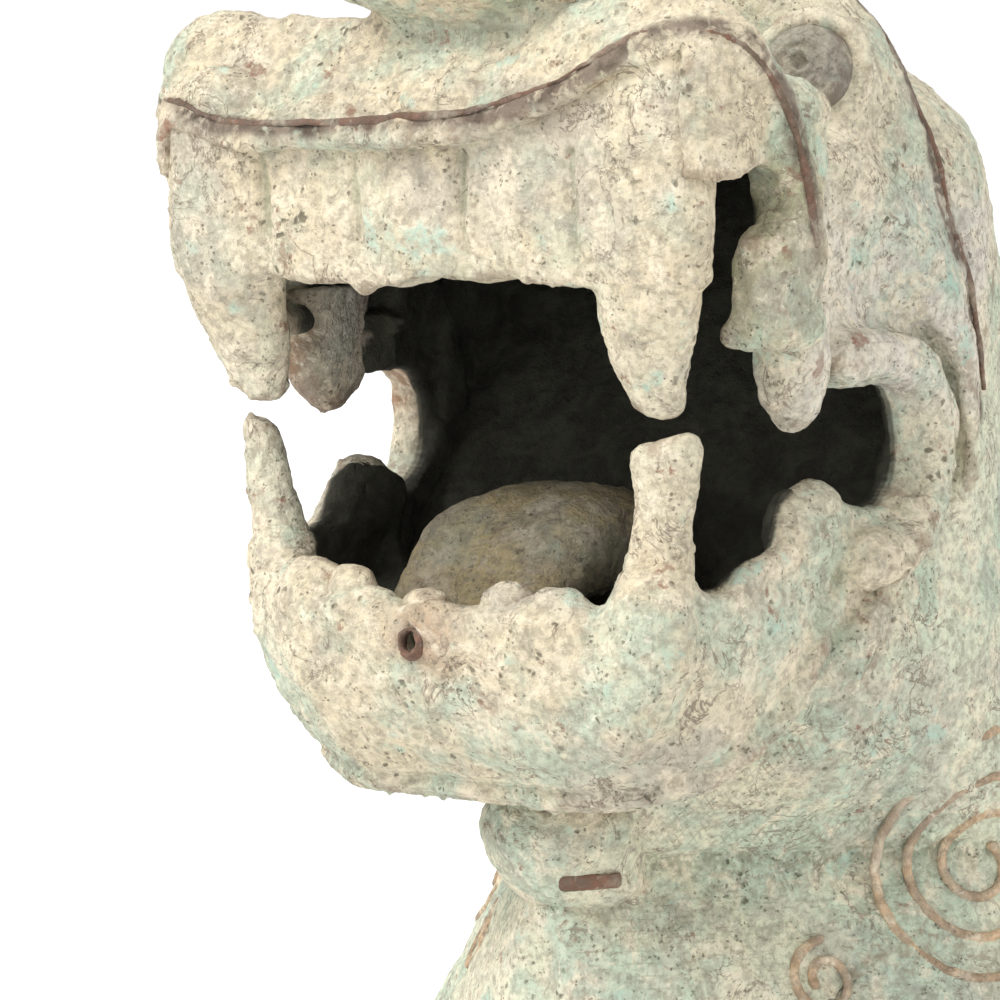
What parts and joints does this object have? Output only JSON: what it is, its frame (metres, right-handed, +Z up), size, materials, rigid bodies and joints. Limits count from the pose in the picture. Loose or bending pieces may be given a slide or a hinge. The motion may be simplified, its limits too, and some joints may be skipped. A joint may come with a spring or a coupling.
{
  "type": "foo dog statue",
  "caption": "Standing guardian beast statue in hollow-cast patinated bronze, with a wide open fanged mouth, raised tongue, inlaid spirals on shoulders and haunches, and a curled tail.",
  "frame": {"origin": "centre of the footprint box on the floor, under the four paws", "axes": "+Z up, -Y the way the beast faces, +X the beast's own left"},
  "size_m": [0.132, 0.3459, 0.325],
  "materials": {
    "bronze": "pale green and grey mineral crust over cast bronze, rough",
    "teeth_bronze": "cream and tan crust with brown and green stains, rough",
    "tongue_bronze": "granular brown-green crust, rough",
    "eye_bronze": "grey speckled crust, rough",
    "copper_inlay": "corroded red-brown copper wire",
    "gold_inlay": "dull orange-tan inlaid wire",
    "clay": "baked clay core"
  },
  "bodies": {
    "root": {"trunk": "bronze", "belly_plate": "bronze", "head": "bronze", "cheek_left": "bronze", "cheek_right": "bronze", "tail": "bronze", "ear_left": "bronze", "ear_right": "bronze", "leg_front_left": "bronze", "leg_front_right": "bronze", "leg_rear_left": "bronze", "leg_rear_right": "bronze", "throat_tuft": "bronze", "lower_jaw": "bronze", "upper_teeth": "teeth_bronze", "upper_back_tooth_left": "teeth_bronze", "upper_back_tooth_right": "teeth_bronze", "lower_fang_left": "teeth_bronze", "lower_fang_right": "teeth_bronze", "lower_back_tooth_left": "teeth_bronze", "lower_back_tooth_right": "teeth_bronze", "lower_incisors": "teeth_bronze", "tongue": "tongue_bronze", "eye_left": "eye_bronze", "eye_right": "eye_bronze", "lip_inlay": "copper_inlay", "brow_inlay_left": "copper_inlay", "brow_inlay_right": "copper_inlay", "throat_band": "copper_inlay", "core_spacers": "copper_inlay", "shoulder_inlay_left": "gold_inlay", "shoulder_inlay_right": "gold_inlay", "haunch_inlay_left": "gold_inlay", "haunch_inlay_right": "gold_inlay", "leg_cores": "clay"}
  },
  "joints": []
}
